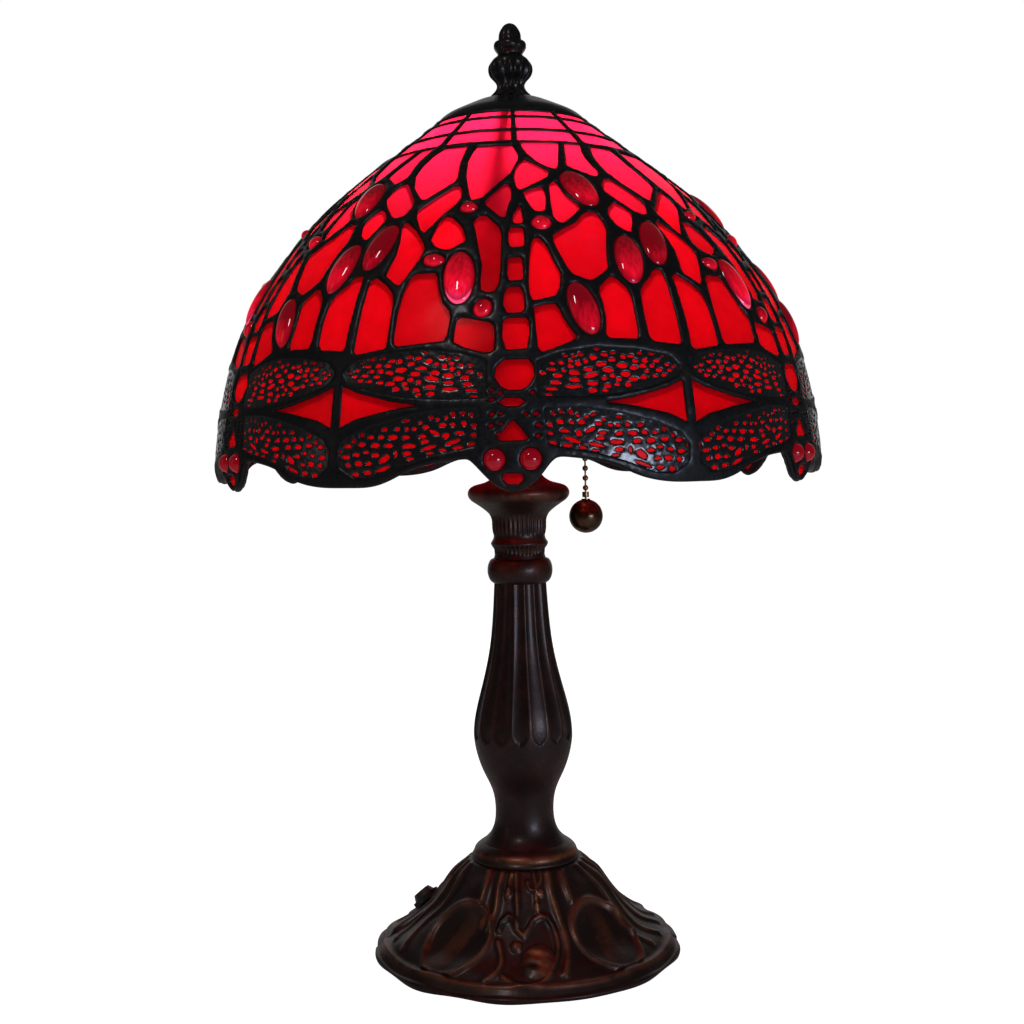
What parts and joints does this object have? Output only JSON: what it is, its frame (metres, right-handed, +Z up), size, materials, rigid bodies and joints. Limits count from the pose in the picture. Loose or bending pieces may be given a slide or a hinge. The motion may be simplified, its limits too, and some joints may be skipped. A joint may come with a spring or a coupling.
{
  "type": "leaded glass table lamp",
  "caption": "Table lamp with a domed leaded-glass dragonfly shade over a cast baluster column and bell foot, lit by a pull-chain socket.",
  "frame": {"origin": "on the lamp's axis, at the face of the felt pad that it stands on", "axes": "+Z up along the column, -Y towards the front, +X to the lamp's right as seen from the front, where the pull chain hangs"},
  "size_m": [0.2988, 0.303, 0.4645],
  "materials": {
    "antique_bronze": "dark brown antique bronze, rubbed to copper on the ridges",
    "harp_bronze": "satin dark bronze plating",
    "chain_bronze": "oiled bronze bead chain",
    "solder": "black patina over solder",
    "filigree": "black patina on etched brass sheet",
    "red_glass": "deep red rolled art glass, lit from behind",
    "jewel_glass": "pressed red glass cabochons, polished",
    "brass": "satin brass",
    "zinc_steel": "zinc-plated steel",
    "iron": "raw casting",
    "felt": "black felt",
    "black_plastic": "moulded black plastic",
    "fibre": "pressed fibre board",
    "bulb_white": "soft white coated bulb, lit",
    "bulb_cap_metal": "bright aluminium",
    "clear_glass": "clear glass"
  },
  "bodies": {
    "stand": {"felt_pad": "felt", "base_weight": "iron", "foot": "antique_bronze", "pipe_washer": "zinc_steel", "pipe_nut": "zinc_steel", "lamp_pipe": "zinc_steel", "cord_gland": "black_plastic", "column_collar": "antique_bronze", "column_baluster": "antique_bronze", "column_bead": "antique_bronze", "column_neck": "antique_bronze", "column_cap": "antique_bronze", "harp_saddle": "harp_bronze", "harp": "harp_bronze", "harp_ferrules": "harp_bronze", "harp_stud": "harp_bronze", "socket_cap": "brass", "socket_shell": "brass", "socket_liner": "fibre", "socket_body": "black_plastic", "screw_shell": "brass", "centre_contact": "brass", "terminal_screws": "zinc_steel", "chain_guide": "brass", "lever_pin": "zinc_steel", "lever_spring": "zinc_steel"},
    "switch_lever": {"pull_lever": "zinc_steel"},
    "chain_inner": {"chain_feed": "chain_bronze"},
    "chain_upper": {"chain_lead": "chain_bronze"},
    "chain_lower": {"chain_drop": "chain_bronze", "chain_coupling": "chain_bronze"},
    "ball": {"pull_ball": "antique_bronze"},
    "bulb": {"bulb_glass": "bulb_white", "bulb_base": "bulb_cap_metal", "bulb_contact": "bulb_cap_metal", "bulb_mount": "clear_glass"},
    "shade": {"shade_cap": "antique_bronze", "shade_ring": "solder", "lead_panel_1": "solder", "lead_panel_2": "solder", "lead_panel_3": "solder", "lead_panel_4": "solder", "lead_panel_5": "solder", "lead_panel_6": "solder", "glass_panel_1": "red_glass", "glass_panel_2": "red_glass", "glass_panel_3": "red_glass", "glass_panel_4": "red_glass", "glass_panel_5": "red_glass", "glass_panel_6": "red_glass", "wing_plates_1": "filigree", "wing_plates_2": "filigree", "wing_plates_3": "filigree", "wing_plates_4": "filigree", "wing_plates_5": "filigree", "wing_plates_6": "filigree", "jewels_large": "jewel_glass", "jewels_small": "jewel_glass", "dragonfly_eyes": "jewel_glass"},
    "finial": {"finial": "antique_bronze"}
  },
  "joints": [
    {"name": "shade_turn", "type": "hinge", "parent": "stand", "child": "shade", "pos_m": [0, 0, 0.4258], "axis": [0, 0, 1], "continuous": true},
    {"name": "finial_unscrew", "type": "hinge", "parent": "stand", "child": "finial", "pos_m": [0, 0, 0.43], "axis": [0, 0, 1], "continuous": true},
    {"name": "bulb_unscrew", "type": "hinge", "parent": "stand", "child": "bulb", "pos_m": [0, 0, 0.3], "axis": [0, 0, 1], "continuous": true},
    {"name": "chain_pull", "type": "slide", "parent": "stand", "child": "chain_upper", "axis": [0, 0, -1], "range_m": [0, 0.008], "stiffness_N_per_m": 250, "springref_m": -0.002},
    {"name": "chain_inner_slide", "type": "slide", "parent": "stand", "child": "chain_inner", "axis": [1, 0, 0], "range_m": [0, 0.008]},
    {"name": "lever_turn", "type": "hinge", "parent": "stand", "child": "switch_lever", "pos_m": [0.003, 0, 0.264], "axis": [0, 1, 0], "range_deg": [0, 46]},
    {"name": "chain_swing", "type": "hinge", "parent": "chain_upper", "child": "chain_lower", "pos_m": [0.0337, 0, 0.263], "axis": [0, 1, 0], "range_deg": [-18, 6]},
    {"name": "ball_swing", "type": "hinge", "parent": "chain_lower", "child": "ball", "pos_m": [0.0337, 0, 0.2294], "axis": [1, 0, 0], "range_deg": [-20, 20]}
  ],
  "couplings": [
    {"joint": "chain_inner_slide", "follows": "chain_pull", "ratio": 1},
    {"joint": "lever_turn", "follows": "chain_pull", "rad_per_m": 100}
  ]
}
